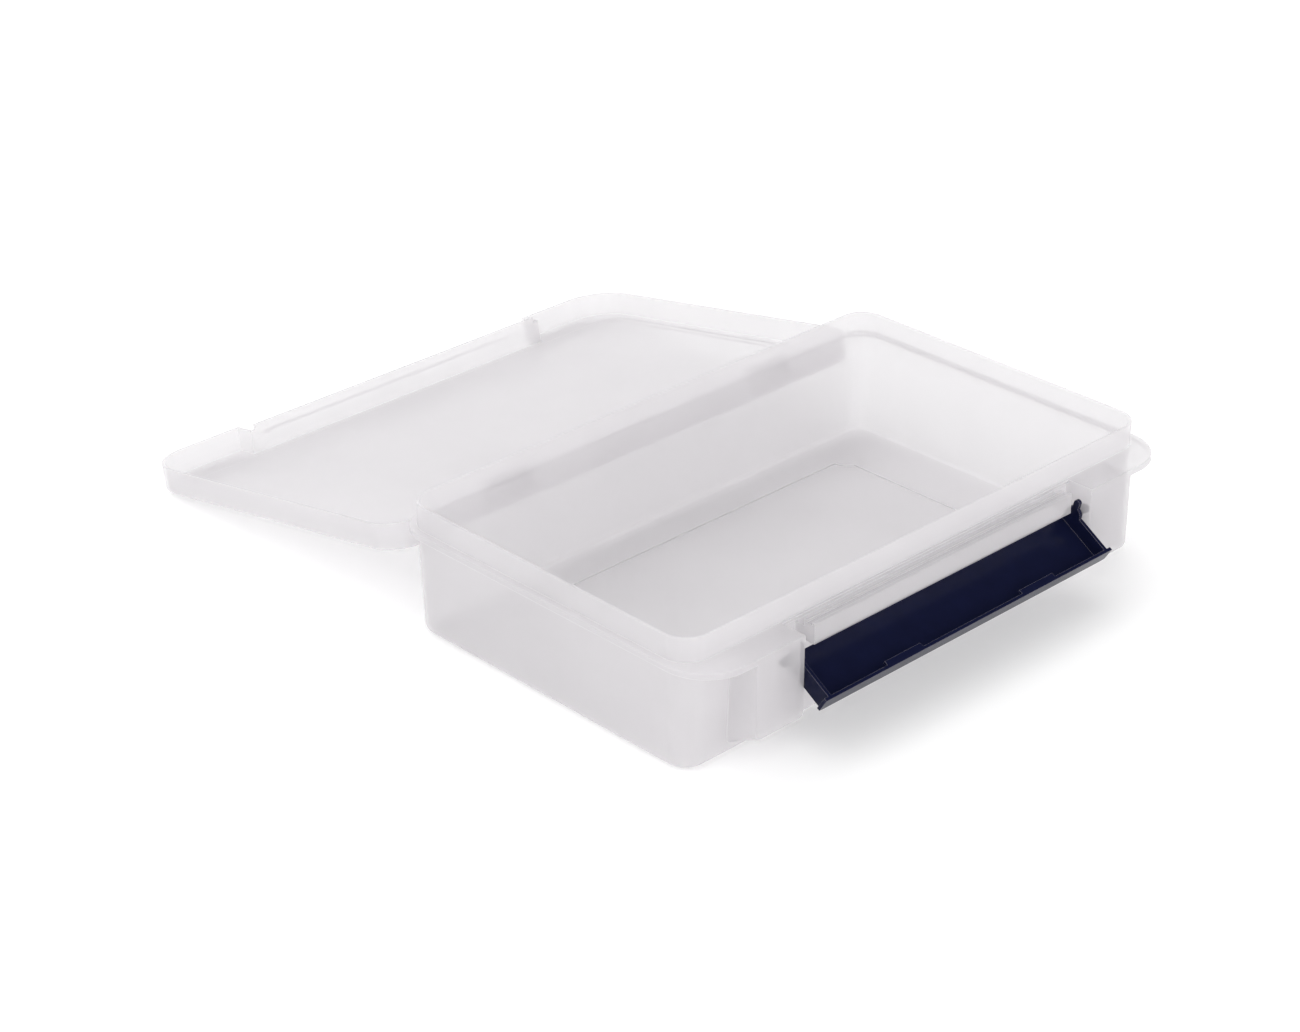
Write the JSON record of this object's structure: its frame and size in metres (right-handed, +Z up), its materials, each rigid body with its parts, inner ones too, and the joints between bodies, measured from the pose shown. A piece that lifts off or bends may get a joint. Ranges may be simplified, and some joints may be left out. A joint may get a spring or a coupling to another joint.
{
  "type": "pencil case",
  "caption": "Translucent plastic pencil case with a deep tray, a lid hinged at the rear and a long dark bar latch at the front.",
  "frame": {"origin": "centre of the tray's base, on the surface that the case stands on", "axes": "+X along the case, +Y from the latch to the lid hinge, +Z up"},
  "size_m": [0.3376, 0.4451, 0.073],
  "materials": {
    "clear_shell": "moulded translucent polypropylene, satin",
    "latch_plastic": "moulded dark navy plastic, semi-gloss"
  },
  "bodies": {
    "tray": {"tray": "clear_shell"},
    "lid": {"lid": "clear_shell"},
    "latch": {"latch": "latch_plastic"}
  },
  "joints": [
    {"name": "lid_hinge", "type": "hinge", "parent": "tray", "child": "lid", "pos_m": [0, 0.1032, 0.058], "axis": [1, 0, 0], "range_deg": [0, 191.02]},
    {"name": "latch_hinge", "type": "hinge", "parent": "tray", "child": "latch", "pos_m": [0, -0.1064, 0.0446], "axis": [-1, 0, 0], "range_deg": [0, 122]}
  ]
}
